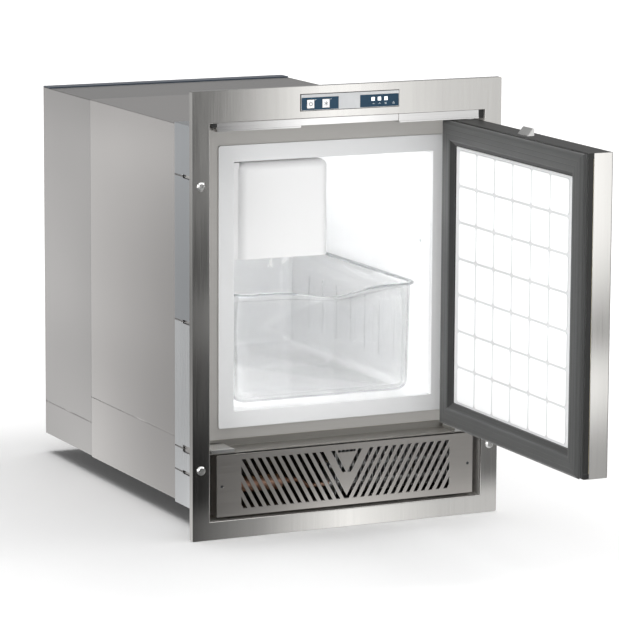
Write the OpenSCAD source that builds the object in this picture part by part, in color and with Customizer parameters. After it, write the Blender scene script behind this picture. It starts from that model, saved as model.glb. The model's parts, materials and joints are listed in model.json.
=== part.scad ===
// Built-in ice maker: steel cabinet behind a front flange, hinged insulated door,
// clear ice bin, automatic ice mould and a front-ventilated machine bay.
// Millimetres, +Z up, front faces -Y. The origin is the centre of the cabinet's base.
// front() places geometry whose Y is measured backwards from the flange's front face.

/* [Flange] */
// Width of the front flange
flange_w = 380; // [378:1:390]
// Height of the front flange
flange_h = 500; // [498:1:506]
// Height of the flange's lower edge below the cabinet's base
flange_drop = 22; // [21:1:23]
// Thickness of the flange sheet
flange_t = 2; // [2:0.5:2.5]
// Depth of the folded rim around the flange
rim_d = 8.4; // [6:0.2:12]
// Side-to-side distance between the furniture screws
screw_span_x = 360; // [359:0.5:361]
// Vertical distance between the furniture screws
screw_span_z = 316; // [300:1:320]
// Height of the lower furniture screws above the cabinet's base
screw_low_z = 57.5; // [50:0.5:70]

/* [Cabinet] */
// Depth from the flange's front face to the rear panel
depth = 520; // [518:1:530]
// Width of the casing
casing_w = 320; // [318:1:322]
// Height of the casing
casing_h = 429.5; // [429:0.5:430]
// Thickness of the casing sheet
sheet = 1; // [0.8:0.1:1.2]
// Distance from the flange's front face to the step between front and rear casings
step_y = 368; // [360:1:372]
// How much smaller than the front casing the rear casing is, each side
step_in = 0.75; // [0.5:0.05:1]
// Distance from the flange's front face to the collar's rear edge
collar_y = 114; // [110:1:120]

/* [Door] */
// Angle at which the door stands open
door_open = 89; // [60:1:90]
// Width of the opening in the flange
opening_w = 338; // [338:1:339]
// Height of the opening in the flange
opening_h = 443.5; // [443:0.5:444]
// Thickness of the door with its gasket
door_t = 37.2; // [37:0.1:37.4]
// Width of the door
door_w = 333.8; // [333:0.1:334]
// Height of the door
door_h = 349.4; // [349:0.1:350]
// Columns of embossed panes on the door's liner
pane_cols = 6; // [4:1:8]
// Rows of embossed panes on the door's liner
pane_rows = 7; // [5:1:9]
// Radius of the hinge pins
pin_r = 3; // [2.5:0.5:3.5]

/* [Cavity] */
// Inside width of the cold cavity
cavity_w = 246.4; // [244:0.2:248]
// Inside height of the cold cavity
cavity_h = 280.2; // [278:0.2:282]
// Distance from the flange's front face to the cavity's back wall
cavity_back_y = 408; // [404:1:410]
// Width of the white frame around the cavity's mouth
breaker_w = 19; // [17:0.5:19]

/* [Ice bin] */
// Outside width of the bin
bin_w = 226; // [220:1:228]
// Outside height of the bin
bin_h = 126; // [110:1:130]
// Outside depth of the bin
bin_d = 340; // [300:1:342]
// Radius of the bin's upright corners
bin_r = 20; // [12:1:24]

/* [Hidden] */
$fn = 48;

steel = [0.72, 0.71, 0.69];
dark_steel = [0.5, 0.48, 0.46];
white = [0.95, 0.95, 0.95];
black = [0.08, 0.08, 0.09];
copper = [0.72, 0.43, 0.27];
navy = [0.1, 0.24, 0.33];

// flange and door pocket
flange_bottom = -flange_drop;
flange_top = flange_h - flange_drop;
opening_bottom = -1.5;
opening_top = opening_bottom + opening_h;
opening_x = opening_w / 2;
face_y = 39.2;
rail_z = 74.4;
face_bottom = 81.5;

// casings
casing_x = casing_w / 2;
casing_front = face_y + sheet + 0.2;
skirt_front_z = 73;
skirt_rear_z = 41.5;
seam = 0.3;
panel_y = depth - sheet;
rear_x = casing_x - step_in;
rear_top = casing_h - step_in;
bay_roof = 77;

// cavity
liner_t = 2;
mouth_x = cavity_w / 2;
mouth_low = 113;
mouth_high = mouth_low + cavity_h;
lip_back = 44;
foam_back = 432;

// hinge line and door, as it lies when closed
pin_x = 153.4;
pin_y = 7.4;
door_x = door_w / 2;
door_low = 82.2;
door_high = door_low + door_h;
skin_d = 22.8;
gasket_y = 28.7;
gasket_w = 24;
liner_y = door_t - 5;
liner_x = 137.9;
cap_t = 6;
bush_r = 5;
running = 0.05;

// latch
latch_w = 24;
latch_d = 8;
latch_front = 12.2;
latch_rise = 7.9;
slider_z = 402;

// control panel
panel_w = 119.8;
panel_low = 451.3;
panel_high = 468.9;
key_z = 458.4;
key_w = 8.6;
key_h = 9.4;
power_key_x = -48.7;
mode_key_x = -30;
window_low = 451.8;
window_high = 465.6;

// ice mould, inside its cover
cover_x0 = -112;
cover_x1 = 4;
cover_y0 = 60;
cover_y1 = 290;
cover_low = 279;
cover_high = 388;
mould_x = -58;
shaft_z = 336;
shaft_r = 3.5;
mould_y0 = 78;
pocket = 24;
pockets = 7;
mould_y1 = mould_y0 + 6 + pocket * pockets;
fill_x = -92;
fill_z = 366;
feeler_x = -65.5;
feeler_y = 66;

// bin
bin_y = 54;
bin_low = 115;
bin_top = bin_low + bin_h;
bin_t = 2.5;

// machine bay
fan_x = 78;
fan_z = 37;
comp_x = -75;
comp_y = 478;
valve_x = 92;
valve_z = 66;
drain_x = 60;
spigot_x = -30;
spigot_z = 34;
inlet_x = -105;
inlet_z = 236;

// ---- helpers ----

// Geometry measured backwards from the flange's front face
module front() translate([0, -depth / 2, 0]) children();

// Door geometry drawn closed and shown open
module hung() front() translate([pin_x, pin_y, 0]) rotate(door_open)
    translate([-pin_x, -pin_y, 0]) children();

// Box between two corners
module box(lo, hi) translate(lo) cube(hi - lo);

// Extrusion of an XZ outline from y0 to y1
module along_y(y0, y1) translate([0, y1, 0]) rotate([90, 0, 0]) linear_extrude(y1 - y0)
    children();

// Extrusion of a YZ outline from x0 to x1
module along_x(x0, x1) translate([x0, 0, 0]) rotate([90, 0, 90]) linear_extrude(x1 - x0)
    children();

// Rounded rectangle between two corners
module rrect(lo, hi, r) {
    translate([lo.x + r, lo.y]) square([hi.x - lo.x - 2 * r, hi.y - lo.y]);
    translate([lo.x, lo.y + r]) square([hi.x - lo.x, hi.y - lo.y - 2 * r]);
    for (x = [lo.x + r, hi.x - r], y = [lo.y + r, hi.y - r]) translate([x, y]) circle(r);
}

// Round bar between two points
module bar(a, b, r) {
    v = b - a;
    translate(a) rotate([0, acos(v.z / norm(v)), atan2(v.y, v.x)]) cylinder(h = norm(v), r = r);
}

// Bent tube through points, drawn solid
module pipe(points, r) {
    for (i = [1:len(points) - 1]) bar(points[i - 1], points[i], r);
    for (i = [1:len(points) - 2]) translate(points[i]) sphere(r);
}

// Cylinder along Y
module disc_y(x, y0, y1, z, r) translate([x, y1, z]) rotate([90, 0, 0])
    cylinder(h = y1 - y0, r = r);

// Upside-down or upright channel of sheet around the cabinet
module channel(x, z0, z1, y0, y1, closed_at_top) difference() {
    box([-x, y0, z0], [x, y1, z1]);
    if (closed_at_top) box([-x + sheet, y0 - 1, z0 - 1], [x - sheet, y1 + 1, z1 - sheet]);
    else box([-x + sheet, y0 - 1, z0 + sheet], [x - sheet, y1 + 1, z1 + 1]);
}

// ---- front flange and door pocket ----

module screw_points() for (x = [-1, 1], z = [0, 1])
    translate([x * screw_span_x / 2, 0, screw_low_z + z * screw_span_z]) children();

module front_flange() color(steel) front() difference() {
    box([-flange_w / 2, 0, flange_bottom], [flange_w / 2, rim_d, flange_top]);
    box([-flange_w / 2 + 1.5, flange_t, flange_bottom + 1.5],
        [flange_w / 2 - 1.5, rim_d + 1, flange_top - 1.5]);
    box([-opening_x, -1, opening_bottom], [opening_x, rim_d, opening_top]);
    box([-panel_w / 2 + 2, -1, panel_low + 2], [panel_w / 2 - 2, rim_d, panel_high - 2]);
    screw_points() disc_y(0, -1, rim_d, 0, 2.7);
}

module mounting_screws() color([0.85, 0.85, 0.85]) front() screw_points() difference() {
    union() {
        disc_y(0, 0, flange_t, 0, 2.4);
        disc_y(0, flange_t, 26, 0, 2);
        disc_y(0, -1, 0, 0, 5);
        translate([0, -1, 0]) rotate([90, 0, 0]) cylinder(h = 1.6, r1 = 5, r2 = 3.4);
    }
    for (a = [45, 135]) rotate([0, a, 0]) box([-0.6, -3, -2.6], [0.6, -1.4, 2.6]);
}

module door_pocket() color(dark_steel) front() difference() {
    box([-opening_x - sheet, flange_t, opening_bottom - sheet],
        [opening_x + sheet, face_y + sheet, opening_top + sheet]);
    box([-opening_x, flange_t - 1, opening_bottom], [opening_x, face_y, opening_top]);
    box([-mouth_x - liner_t, face_y - 1, mouth_low - liner_t],
        [mouth_x + liner_t, face_y + sheet + 1, mouth_high + liner_t]);
    box([-casing_x + sheet, face_y - 1, opening_bottom + 2.5],
        [casing_x - sheet, face_y + sheet + 1, face_bottom]);
}

module cross_rail() color(dark_steel) front() {
    box([-opening_x, 3.8, rail_z - sheet], [opening_x, face_y, rail_z]);
    box([-casing_x + 2, face_y - sheet, rail_z], [casing_x - 2, face_y, face_bottom]);
}

module collar() color([0.78, 0.79, 0.8]) front() difference() {
    box([-casing_x - 1.8, face_y + sheet, -1.8], [casing_x + 1.8, collar_y, casing_h + 1.8]);
    box([-casing_x - 0.8, face_y, -3], [casing_x + 0.8, collar_y + 1, casing_h + 0.8]);
    for (slit = [[373, 4], [209, 4], [64, 8], [37, 4]])
        box([-casing_x - 3, 62, slit[0] - slit[1] / 2], [casing_x + 3, 92, slit[0] + slit[1] / 2]);
}

// ---- casings ----

module front_casing() color(steel) front()
    channel(casing_x, skirt_front_z + seam, casing_h, casing_front, step_y, true);

module front_tray() color(steel) front()
    channel(casing_x, 0, skirt_front_z, casing_front, step_y, false);

module rear_casing() color([0.66, 0.64, 0.63]) front()
    channel(rear_x, skirt_rear_z + seam, rear_top, step_y + seam, panel_y, true);

module rear_tray() color([0.66, 0.64, 0.63]) front()
    channel(rear_x, step_in, skirt_rear_z, step_y + seam, panel_y, false);

module back_panel() color(steel) front() difference() {
    box([-rear_x, panel_y, step_in], [rear_x, depth, rear_top - 0.4]);
    for (x = [-90, 0, 90], row = [0:6])
        along_y(panel_y - 1, depth + 1)
            rrect([x - 34, 310 + 14 * row], [x + 34, 315 + 14 * row], 2.4);
    for (x = [-90, 90], row = [0:4])
        along_y(panel_y - 1, depth + 1)
            rrect([x - 34, 130 + 14 * row], [x + 34, 135 + 14 * row], 2.4);
    disc_y(valve_x, panel_y - 1, depth + 1, valve_z, 15);
    disc_y(spigot_x, panel_y - 1, depth + 1, spigot_z, 8.6);
    box([inlet_x - 14.2, panel_y - 1, inlet_z - 12.2], [inlet_x + 14.2, depth + 1, inlet_z + 12.2]);
}

module rear_trim() color([0.16, 0.2, 0.26]) front() {
    box([-rear_x, depth - 20, rear_top], [rear_x, depth, rear_top + 1.2]);
    box([-rear_x, panel_y, rear_top - 0.4], [rear_x, depth, rear_top]);
}

// ---- cold cavity ----

module cabinet_foam() color([0.93, 0.88, 0.7]) front() difference() {
    union() {
        box([-casing_x + sheet + 0.2, casing_front, bay_roof],
            [casing_x - sheet - 0.2, step_y, casing_h - sheet - 0.2]);
        box([-rear_x + sheet + 0.2, step_y - 1, bay_roof],
            [rear_x - sheet - 0.2, foam_back, rear_top - sheet - 0.2]);
    }
    box([-mouth_x - liner_t, 0, mouth_low - liner_t],
        [mouth_x + liner_t, cavity_back_y + liner_t + 8, mouth_high + liner_t]);
    disc_y(fill_x, cavity_back_y, depth, fill_z, 4.2);
    disc_y(100, cavity_back_y, depth, 140, 4.2);
    disc_y(-100, cavity_back_y, depth, 140, 1.6);
    translate([drain_x, 402, 0]) cylinder(h = mouth_low, r = 5.2);
    box([-casing_x, casing_front - 1, bay_roof - 1], [casing_x, casing_front + 0.3, face_bottom]);
}

module inner_liner() color(white) front() difference() {
    box([-mouth_x - liner_t, lip_back, mouth_low - liner_t],
        [mouth_x + liner_t, cavity_back_y + liner_t, mouth_high + liner_t]);
    difference() {
        box([-mouth_x, lip_back - 1, mouth_low], [mouth_x, cavity_back_y, mouth_high]);
        translate([mouth_x - 1.4, 66, 287]) rotate([0, 90, 0]) cylinder(h = 3, r = 2.6);
    }
    disc_y(fill_x, cavity_back_y - 1, depth, fill_z, 4.2);
    translate([drain_x, 402, mouth_low - 5]) cylinder(h = 10, r = 3.6);
}

module breaker_frame() color(white) front() difference() {
    union() {
        along_y(face_y - 1.8, face_y) rrect([-mouth_x - breaker_w, mouth_low - breaker_w],
            [mouth_x + breaker_w, mouth_high + breaker_w], 3);
        box([-mouth_x - liner_t, face_y - 1, mouth_low - liner_t],
            [mouth_x + liner_t, lip_back, mouth_high + liner_t]);
    }
    box([-mouth_x, 0, mouth_low], [mouth_x, depth, mouth_high]);
}

module evaporator_panel() color([0.8, 0.8, 0.82]) front() {
    y = cavity_back_y + liner_t;
    box([-108, y, 132], [108, y + 1.5, 348]);
    for (row = [0:5]) bar([-88, y + 4.4, 152 + 36 * row], [88, y + 4.4, 152 + 36 * row], 3);
    for (row = [0:4]) {
        x = row % 2 == 0 ? 88 : -88;
        z = 152 + 36 * row;
        translate([x, y + 4.4, z + 18]) rotate([90, 0, 0]) rotate(row % 2 == 0 ? -90 : 90)
            rotate_extrude(angle = 180) translate([18, 0]) circle(3);
    }
}

// ---- hinge and latch fixtures ----

module hinge_rail(x0, x1) along_x(x0, x1) {
    difference() {
        translate([3, door_high + 0.7]) square([27, opening_top - door_high - 0.7]);
        translate([4.2, door_high + 2.7]) square([27, opening_top - door_high - 3.9]);
    }
    translate([1.8, door_high + 0.7]) square([2, 1.6]);
}

module upper_hinge_rails() color([0.75, 0.75, 0.75]) front() {
    difference() {
        hinge_rail(62.4, 162.6);
        translate([pin_x, pin_y, door_high]) cylinder(h = 12, r = pin_r + running);
    }
    hinge_rail(-159.4, -58.6);
    box([-59, 4.2, opening_top - 7.6], [63, 5.4, opening_top]);
}

module hinge_end_blocks() color(black) front() {
    box([162.7, 3, door_high + 0.7], [opening_x, 18, opening_top]);
    box([-166, 3, opening_top - 4.8], [-159.5, 18, opening_top]);
}

module lower_hinge_plates() color([0.75, 0.75, 0.75]) front() difference() {
    for (side = [-1, 1]) along_y(3.8, 34) rrect([side > 0 ? 137.5 : -166, rail_z],
        [side > 0 ? 166 : -137.5, rail_z + 4], 0.6);
    translate([pin_x, pin_y, rail_z - 1]) cylinder(h = 6, r = pin_r);
}

module hinge_pins() color([0.85, 0.85, 0.85]) front() translate([pin_x, pin_y, 0]) {
    translate([0, 0, rail_z]) cylinder(h = door_low + 9 - rail_z, r = pin_r);
    translate([0, 0, door_high - 9]) cylinder(h = opening_top - door_high + 9, r = pin_r);
}

module latch_keeper() color([0.8, 0.8, 0.8]) front() {
    box([-16, 9.2, opening_top - 1.2], [16, 34, opening_top]);
    box([-16, 9.2, opening_top - 6.4], [16, 11.2, opening_top - 1.2]);
}

// ---- grille and machine bay ----

slot_low = 9.7;
slot_high = 65.7;
slot_lean = 29;
slot_pitch = 9.57;
slot_w = 4.6;
field_x = 130;
slot_shift = (slot_high - slot_low) * tan(slot_lean);

// One leaning slot whose upper end is centred at x, on the left half
module slot(x) polygon([[x - slot_w / 2, slot_high], [x + slot_w / 2, slot_high],
    [x + slot_w / 2 + slot_shift, slot_low], [x - slot_w / 2 + slot_shift, slot_low]]);

module half_slots() intersection() {
    translate([-field_x, slot_low]) square([field_x, slot_high - slot_low]);
    for (k = [-5:9]) slot(-117.6 + slot_pitch * k);
}

// Triangle outlined by three narrow slots at the grille's middle
module chevron() {
    translate([-10.8, slot_high - 2.8]) square([21.6, 2.8]);
    for (s = [0, 1]) mirror([s, 0]) intersection() {
        translate([-30, 40]) square([28.6, slot_high - 40]);
        slot(-17.2);
    }
}

module grille() color([0.62, 0.6, 0.57]) front() difference() {
    box([-159.8, 2, 2.3], [159.8, 20, 72.3]);
    box([-158.8, 3, 3.3], [158.8, 21, 71.3]);
    along_y(1, 4) {
        half_slots();
        mirror([1, 0]) half_slots();
        chevron();
    }
    for (x = [-153.5, 153.5]) disc_y(x, 1, 4, 36.7, 1.8);
}

module grille_screws() color([0.4, 0.4, 0.4]) front() for (x = [-153.5, 153.5])
    disc_y(x, 2.3, 16, 36.7, 1.7);

module condenser() color([0.75, 0.76, 0.78]) front() {
    for (x = [8:5:148]) box([x, 44, 7], [x + 0.8, 72, 67]);
    for (x = [5, 152]) box([x, 42, 5], [x + 1.2, 74, 69]);
    for (y = [51, 65], z = [17, 37, 57]) bar([0, y, z], [154.5, y, z], 3.5);
}

module fan_shroud() color(black) front() difference() {
    box([fan_x - 33, 76, 4], [fan_x + 33, 98, 70]);
    disc_y(fan_x, 75, 99, fan_z, 30);
}

module fan_motor() color([0.15, 0.15, 0.16]) front() difference() {
    union() {
        disc_y(fan_x, 88, 104, fan_z, 13);
        for (a = [45:90:315]) translate([fan_x, 0, fan_z]) rotate([0, a, 0])
            box([12, 98.2, -1.5], [42, 100.2, 1.5]);
    }
    disc_y(fan_x, 87, 96, fan_z, 1.5 + running);
}

module fan_rotor() color([0.2, 0.2, 0.22]) front() translate([fan_x, 0, fan_z]) {
    disc_y(0, 79, 87, 0, 10);
    disc_y(0, 86, 95, 0, 1.5);
    for (a = [0:60:300]) rotate([0, a, 0]) translate([9, 83, 0]) rotate([35, 0, 0])
        box([0, -0.6, -6], [18.5, 0.6, 6]);
}

module compressor() color(black) front() translate([comp_x, comp_y, 0]) {
    translate([0, 0, 12]) {
        translate([-50, -36, 0]) cube([100, 72, 2]);
        translate([0, 0, 2]) cylinder(h = 108, r = 38);
        translate([0, 0, 110]) intersection() {
            translate([0, 0, -30]) sphere(48.4);
            cylinder(h = 30, r = 38);
        }
        translate([-52, -14, 30]) cube([18, 28, 44]);
    }
}

module compressor_mounts() color([0.12, 0.12, 0.12]) front() translate([comp_x, comp_y, 0])
    for (x = [-42, 42], y = [-29, 29]) translate([x, y, step_in + sheet])
        cylinder(h = 12 - step_in - sheet, r = 6);

module filter_drier() color(copper) front() {
    bar([-118, 48, 26], [-62, 48, 26], 9);
    bar([-126, 48, 26], [-54, 48, 26], 4);
}

module refrigerant_lines() color(copper) front() {
    // discharge, from the compressor to the condenser
    pipe([[comp_x + 38.1, comp_y, 98], [-22, comp_y, 98], [-22, comp_y, 57], [-22, 65, 57],
        [-0.2, 65, 57]], 3);
    // liquid line, from the condenser to the filter drier
    pipe([[-0.2, 51, 17], [-26, 51, 17], [-40, 48, 26], [-53.8, 48, 26]], 3);
    // suction, from the evaporator back to the compressor
    pipe([[100, cavity_back_y + liner_t + 1.7, 140], [100, 448, 140], [100, 448, 124],
        [-10, 448, 124], [-10, 492, 124], [-10, 492, 80], [comp_x + 36.7, 492, 80]], 3);
}

module capillary_line() color(copper) front()
    pipe([[-126.2, 48, 26], [-146, 48, 26], [-146, 446, 26], [-146, 446, 140],
        [-100, 446, 140], [-100, cavity_back_y + liner_t + 1.7, 140]], 1.4);

module control_box() color([0.3, 0.31, 0.33]) front() difference() {
    union() {
        box([-152, 440, 206], [-12, 512, 290]);
        for (x = [-140, -24]) box([x - 7, foam_back + 0.2, 226], [x + 7, 440, 240]);
    }
    box([-149, 443, 209], [-15, 513, 287]);
}

module power_inlet() color(black) front() difference() {
    union() {
        box([inlet_x - 14, 498, inlet_z - 12], [inlet_x + 14, depth + 2, inlet_z + 12]);
        box([inlet_x - 25, depth, inlet_z - 14], [inlet_x + 25, depth + 2, inlet_z + 14]);
    }
    difference() {
        box([inlet_x - 12, 502, inlet_z - 9.5], [inlet_x + 12, depth + 3, inlet_z + 9.5]);
        for (pin = [[-7, -2], [0, 2], [7, -2]])
            box([inlet_x + pin[0] - 1, 501, inlet_z + pin[1] - 2.5],
                [inlet_x + pin[0] + 1, depth - 1, inlet_z + pin[1] + 2.5]);
    }
}

module water_valve() color([0.9, 0.9, 0.88]) front() difference() {
    union() {
        disc_y(valve_x, 488, depth + 17.4, valve_z, 13.2);
        disc_y(valve_x, depth + 0.4, depth + 2.4, valve_z, 17);
        disc_y(valve_x, 466, 489, valve_z, 16);
        box([valve_x - 16, 468, valve_z + 12], [valve_x + 16, 494, valve_z + 46]);
        translate([valve_x, 459, valve_z]) cylinder(h = 20, r = 4);
        disc_y(valve_x, 458, 467, valve_z, 4.5);
    }
    disc_y(valve_x, depth - 4, depth + 18, valve_z, 10.5);
}

module fill_tube() color([0.9, 0.92, 0.95]) front()
    pipe([[valve_x, 459, valve_z + 20.2], [valve_x, 459, fill_z + 8], [fill_x, 459, fill_z + 8],
        [fill_x, 459, fill_z], [fill_x, 247, fill_z]], 4);

module drain_tube() color([0.85, 0.85, 0.85]) front() difference() {
    union() {
        pipe([[drain_x, 402, mouth_low - liner_t - 0.2], [drain_x, 402, spigot_z],
            [drain_x, 470, spigot_z], [spigot_x, 470, spigot_z], [spigot_x, 504, spigot_z]], 5);
        disc_y(spigot_x, 500, depth + 22.4, spigot_z, 8);
        disc_y(spigot_x, depth + 0.4, depth + 2.4, spigot_z, 11);
    }
    disc_y(spigot_x, depth - 10, depth + 23, spigot_z, 6);
    translate([drain_x, 402, 60]) cylinder(h = 60, r = 3.6);
}

// ---- control panel ----

module key_hole(x, gap) box([x - key_w / 2 - gap, -3, key_z - key_h / 2 - gap],
    [x + key_w / 2 + gap, 12, key_z + key_h / 2 + gap]);

module display_bezel() color([0.86, 0.86, 0.87]) front() difference() {
    union() {
        along_y(-1.2, 0) rrect([-panel_w / 2, panel_low], [panel_w / 2, panel_high], 0.8);
        box([-panel_w / 2 + 2.2, -1, panel_low + 2.2], [panel_w / 2 - 2.2, 8, panel_high - 2.2]);
    }
    box([-panel_w / 2 + 3.4, -0.2, panel_low + 3.4], [panel_w / 2 - 3.4, 9, panel_high - 3.4]);
    for (zone = [[-panel_w / 2 + 0.3, -14.5], [11.9, panel_w / 2 - 0.3]])
        box([zone[0], -2, window_low], [zone[1], -0.8, window_high]);
    for (x = [power_key_x, mode_key_x]) key_hole(x, 0.35);
    for (x = [27.9, 35.7, 43.8]) box([x - 2.1, -2, 458.5], [x + 2.1, 1, 462.7]);
}

module display_windows() color(navy) front() difference() {
    for (zone = [[-panel_w / 2 + 0.3, -14.5], [11.9, panel_w / 2 - 0.3]])
        box([zone[0], -1.4, window_low], [zone[1], -0.8, window_high]);
    for (x = [power_key_x, mode_key_x]) key_hole(x, 0.35);
    for (x = [27.9, 35.7, 43.8]) box([x - 2.1, -2, 458.5], [x + 2.1, 1, 462.7]);
}

module display_leds() color("white") front() for (x = [27.9, 35.7, 43.8])
    box([x - 2, -1.5, 458.6], [x + 2, 5.4, 462.6]);

module display_board() color([0.1, 0.35, 0.2]) front() {
    box([-55, 5.6, 455], [55, 7.2, 465.2]);
    for (x = [power_key_x, mode_key_x]) box([x - 3, 2.6, 455.5], [x + 3, 5.6, 461.4]);
}

module panel_key(x) {
    box([x - key_w / 2, -1.9, key_z - key_h / 2], [x + key_w / 2, -0.4, key_z + key_h / 2]);
    box([x - 2.2, -0.4, key_z - 2.2], [x + 2.2, 1.7, key_z + 2.2]);
}

module power_key() color(white) front() panel_key(power_key_x);

module mode_key() color(white) front() panel_key(mode_key_x);

// ---- automatic ice mould ----

module ice_cover() color(white) front() difference() {
    union() {
        intersection() {
            along_y(cover_y0, cover_y1) {
                rrect([cover_x0, cover_low], [cover_x1, cover_high], 5);
                translate([cover_x0, cover_low]) square([cover_x1 - cover_x0, 10]);
            }
            translate([0, 0, cover_low]) linear_extrude(cover_high - cover_low) {
                rrect([cover_x0, cover_y0], [cover_x1, cover_y1], 9);
                translate([cover_x0, cover_y1 - 10]) square([cover_x1 - cover_x0, 10]);
            }
        }
        for (x = [cover_x0 + 14, cover_x1 - 24])
            box([x, cover_y0 + 40, cover_high - 1], [x + 10, cover_y1 - 20, mouth_high]);
    }
    box([cover_x0 + 2, cover_y0 + 2, cover_low + 2], [cover_x1 - 2, cover_y1 - 2, cover_high - 2]);
    box([cover_x0 + 2, mould_y0 - 4, cover_low - 1], [cover_x1 - 2, cover_y1 - 2, cover_low + 3]);
    translate([feeler_x, feeler_y, cover_low - 1]) cylinder(h = 4, r = 1.5 + running);
    disc_y(fill_x, cover_y1 - 3, cover_y1 + 1, fill_z, 4.2);
}

module ice_mould() color([0.6, 0.61, 0.63]) front() difference() {
    union() {
        box([mould_x - 28, mould_y0, 299], [mould_x + 28, mould_y1, 330]);
        for (y = [mould_y0, mould_y1 - 4]) along_y(y, y + 4)
            rrect([mould_x - 8, 325], [mould_x + 8, shaft_z + 8], 3);
        box([cover_x0 + 2, mould_y0 + 20, 318], [mould_x - 28, mould_y1 - 30, 322]);
    }
    for (k = [0:pockets - 1])
        disc_y(mould_x, mould_y0 + 4 + pocket * k, mould_y0 + 2 + pocket * (k + 1), shaft_z, 25);
    disc_y(mould_x, mould_y0 - 1, mould_y1 + 1, shaft_z, shaft_r + running);
}

module mould_heater() color([0.35, 0.3, 0.28]) front() {
    for (x = [-1, 1]) bar([mould_x + 18 * x, mould_y0 + 26, 295.8],
        [mould_x + 18 * x, mould_y1 - 6, 295.8], 3);
    translate([mould_x, mould_y0 + 26, 295.8]) rotate(180) rotate_extrude(angle = 180)
        translate([18, 0]) circle(3);
}

module ejector_shaft() color([0.9, 0.9, 0.9]) front() {
    disc_y(mould_x, mould_y0 - 2, mould_y1 + 8, shaft_z, shaft_r);
    for (k = [0:pockets - 1]) box([mould_x - 23.5, mould_y0 + 1 + pocket * (k + 0.5), shaft_z - 2],
        [mould_x, mould_y0 + 5 + pocket * (k + 0.5), shaft_z + 2]);
}

module ice_stripper() color([0.88, 0.88, 0.88]) front() {
    box([mould_x + 28.2, mould_y0 + 2, 326], [mould_x + 32, mould_y1, 333]);
    for (k = [0:pockets]) box([mould_x + 8.3, mould_y0 + 1 + pocket * k, 331.4],
        [mould_x + 30, mould_y0 + 3.6 + pocket * k, 333]);
}

module ejector_motor() color([0.85, 0.85, 0.85]) front() difference() {
    along_y(mould_y1 + 1, cover_y1 - 4) rrect([mould_x - 32, 298], [mould_x + 32, 358], 4);
    disc_y(mould_x, mould_y1, mould_y1 + 12, shaft_z, shaft_r + running);
}

module fill_cup() color([0.85, 0.88, 0.9]) front() difference() {
    box([fill_x - 9.5, 226, 331], [fill_x + 9.5, 247, 372]);
    box([fill_x - 7.5, 228, 333], [fill_x + 7.5, 245, 373]);
    disc_y(fill_x, 244, 248, fill_z, 4.2);
    box([fill_x + 5, 231, 333], [fill_x + 10, 242, 340]);
}

module feeler_plunger() color(white) front() translate([feeler_x, feeler_y, 0]) {
    translate([0, 0, 268.4]) cylinder(h = 2, r = 2.7);
    translate([0, 0, 270]) cylinder(h = 69, r = 1.5);
    translate([0, 0, 300]) cylinder(h = 3, r = 3.4);
}

// ---- ice bin ----

// Bin outline seen from above, inset from its outside
module bin_plan(inset) rrect([-bin_w / 2 + inset, bin_y + inset],
    [bin_w / 2 - inset, bin_y + bin_d - inset], bin_r - inset);

module ice_bin() color([0.85, 0.9, 0.95, 0.4]) front() difference() {
    union() {
        translate([0, 0, bin_low]) linear_extrude(bin_h) bin_plan(0);
        translate([0, 0, bin_top - 3]) linear_extrude(3) bin_plan(-3.2);
    }
    translate([0, 0, bin_low + bin_t]) linear_extrude(bin_h) bin_plan(bin_t);
    // scooped finger dip in the front edge
    along_y(bin_y - 5, bin_y + 4) intersection() {
        translate([0, bin_top + 243]) circle(r = 252, $fn = 160);
        translate([-70, bin_top - 20]) square([140, 40]);
    }
}

// ---- door ----

module door_skin() color(steel) hung() difference() {
    box([-door_x, 0, door_low], [door_x, skin_d, door_high]);
    box([-door_x + sheet, sheet, door_low - 1], [door_x - sheet, skin_d + 1, door_high + 1]);
    box([-13, -1, slider_z - 16], [13, 2, slider_z + 16]);
}

module door_caps() color([0.2, 0.2, 0.19]) hung() difference() {
    for (z = [door_low, door_high - cap_t])
        box([-door_x + sheet, sheet, z], [door_x - sheet, gasket_y, z + cap_t]);
    translate([pin_x, pin_y, door_low - 1]) cylinder(h = cap_t + 2, r = bush_r);
    translate([pin_x, pin_y, door_high - cap_t - 1]) cylinder(h = cap_t + 2, r = bush_r);
    box([-latch_w / 2 - 0.3, latch_front - 0.3, door_high - cap_t - 1],
        [latch_w / 2 + 0.3, latch_front + latch_d + 0.3, door_high + 1]);
}

module door_frame() color(black) hung() difference() {
    box([-door_x + 1, skin_d + 0.1, door_low + cap_t], [door_x - 1, gasket_y, door_high - cap_t]);
    box([-liner_x, skin_d, door_low + 28.5], [liner_x, gasket_y + 1, door_high - 28.5]);
}

module door_foam() color([0.93, 0.88, 0.7]) hung() difference() {
    box([-door_x + sheet, sheet, door_low + cap_t], [door_x - sheet, skin_d, door_high - cap_t]);
    box([-14, 0, slider_z - 28], [14, skin_d + 1, door_high]);
    for (z = [door_low + cap_t - 1, door_high - cap_t - 5])
        translate([pin_x, pin_y, z]) cylinder(h = 6, r = bush_r);
}

pane_field_x = 129.4;
pane_low = 112.4;
pane_high = 401.4;

module door_liner() color(white) hung() {
    box([-liner_x, skin_d + 0.1, door_low + 28.5], [liner_x, liner_y - 0.8, door_high - 28.5]);
    w = 2 * pane_field_x / pane_cols;
    h = (pane_high - pane_low) / pane_rows;
    for (c = [0:pane_cols - 1], r = [0:pane_rows - 1])
        box([-pane_field_x + c * w + 0.9, liner_y - 0.8, pane_low + r * h + 0.9],
            [-pane_field_x + (c + 1) * w - 0.9, liner_y, pane_low + (r + 1) * h - 0.9]);
}

module door_gasket() color([0.33, 0.34, 0.34]) hung() translate([0, gasket_y, 0])
    difference() {
        gasket_block(2, 0, door_t - gasket_y - 3);
        gasket_void();
    }

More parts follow.
